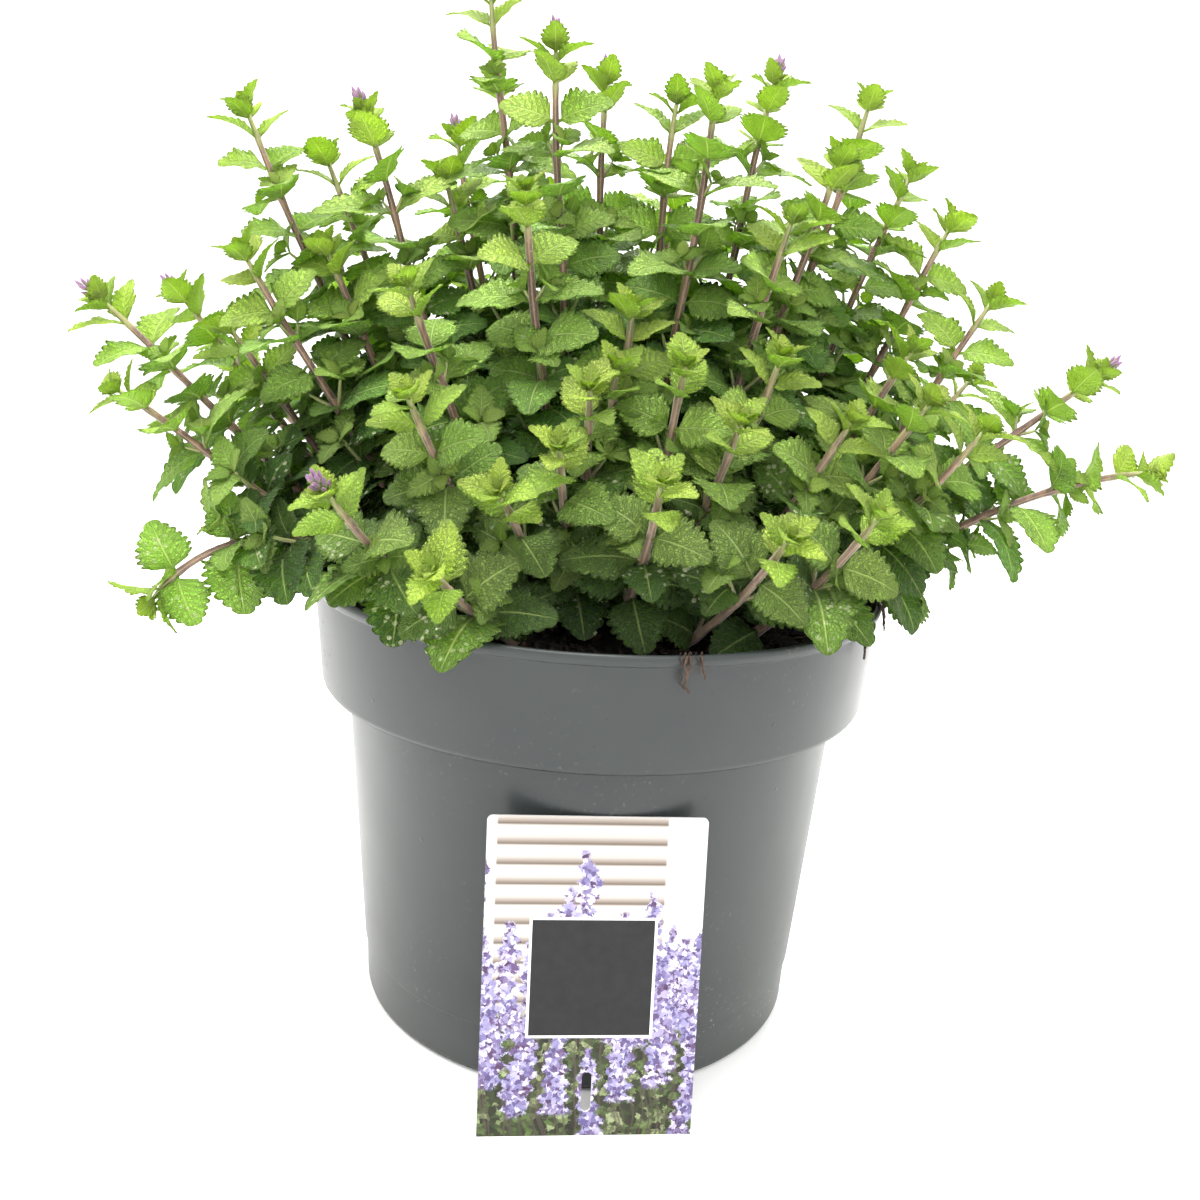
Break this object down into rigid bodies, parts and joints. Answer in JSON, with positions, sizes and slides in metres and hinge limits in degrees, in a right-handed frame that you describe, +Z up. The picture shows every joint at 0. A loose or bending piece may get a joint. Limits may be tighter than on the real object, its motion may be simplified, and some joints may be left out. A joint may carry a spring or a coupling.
{
  "type": "potted catmint",
  "caption": "Bushy catmint of leafy square-stemmed shoots rooted in compost in a round collared nursery pot, with a printed plant label leaning on its front.",
  "frame": {"origin": "centre of the pot's underside, on the surface the pot stands on", "axes": "+Z is up, out of the pot's mouth; -Y is the front, where the label leans; +X is to the right seen from the front"},
  "size_m": [0.4179, 0.3052, 0.4039],
  "materials": {
    "pot": "satin",
    "soil": "matte",
    "label": "satin",
    "foliage": "matte"
  },
  "bodies": {
    "root": {"pot": "pot", "soil": "soil", "plant_label": "label", "shoot_01": "foliage", "shoot_02": "foliage", "shoot_03": "foliage", "shoot_04": "foliage", "shoot_05": "foliage", "shoot_06": "foliage", "shoot_07": "foliage", "shoot_08": "foliage", "shoot_09": "foliage", "shoot_10": "foliage", "shoot_11": "foliage", "shoot_12": "foliage", "shoot_13": "foliage", "shoot_14": "foliage", "shoot_15": "foliage", "shoot_16": "foliage", "shoot_17": "foliage", "shoot_18": "foliage", "shoot_19": "foliage", "shoot_20": "foliage", "shoot_21": "foliage", "shoot_22": "foliage", "shoot_23": "foliage", "shoot_24": "foliage", "shoot_25": "foliage", "shoot_26": "foliage", "shoot_27": "foliage", "shoot_28": "foliage", "shoot_29": "foliage", "shoot_30": "foliage", "shoot_31": "foliage", "shoot_32": "foliage", "shoot_33": "foliage", "shoot_34": "foliage", "shoot_35": "foliage", "shoot_36": "foliage", "shoot_37": "foliage", "shoot_38": "foliage", "shoot_39": "foliage", "shoot_40": "foliage", "shoot_41": "foliage", "shoot_42": "foliage", "shoot_43": "foliage", "shoot_44": "foliage", "shoot_45": "foliage", "shoot_46": "foliage", "shoot_47": "foliage", "shoot_48": "foliage", "shoot_49": "foliage", "shoot_50": "foliage", "shoot_51": "foliage", "shoot_52": "foliage", "shoot_53": "foliage", "shoot_54": "foliage", "shoot_55": "foliage", "shoot_56": "foliage", "shoot_57": "foliage"}
  },
  "joints": []
}
